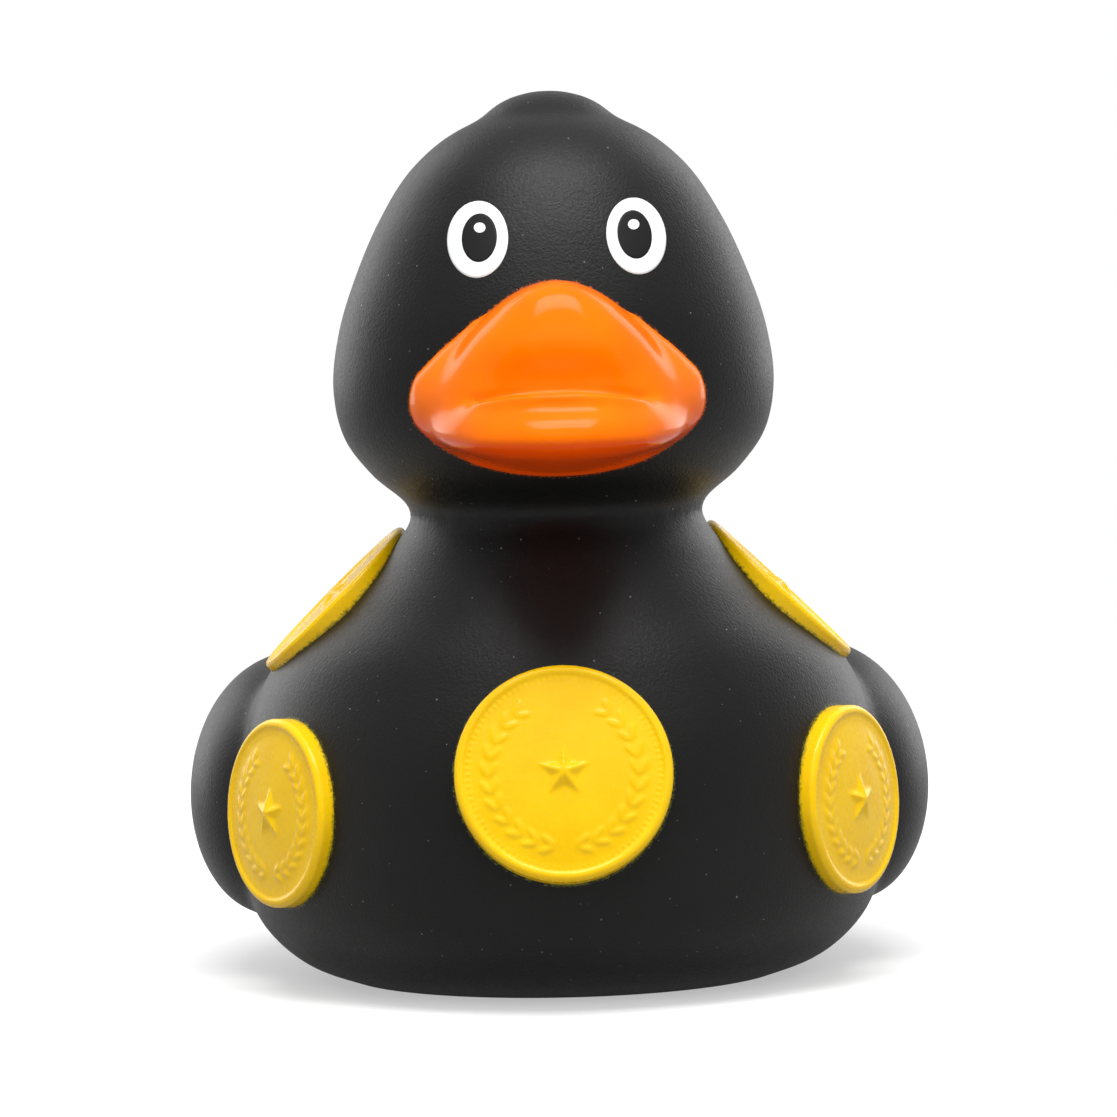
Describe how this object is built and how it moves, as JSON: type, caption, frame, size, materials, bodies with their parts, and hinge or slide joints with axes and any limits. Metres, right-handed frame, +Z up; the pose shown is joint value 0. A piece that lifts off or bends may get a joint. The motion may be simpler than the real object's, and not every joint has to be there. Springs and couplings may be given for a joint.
{
  "type": "rubber duck",
  "caption": "Hollow soft vinyl bath duck with an upturned tail, folded wings, a broad bill and raised round coins on breast, flanks and shoulders.",
  "frame": {"origin": "centre of the flat base, under the middle of the duck's overall length and width", "axes": "+Z up from the base to the crown, -Y the way the duck looks, +X to the duck's left"},
  "size_m": [0.0738, 0.0843, 0.0861],
  "materials": {
    "black_vinyl": "matte, fine grain",
    "whistle_plastic": "satin"
  },
  "bodies": {
    "root": {"duck_body": "black_vinyl", "whistle": "whistle_plastic"}
  },
  "joints": []
}
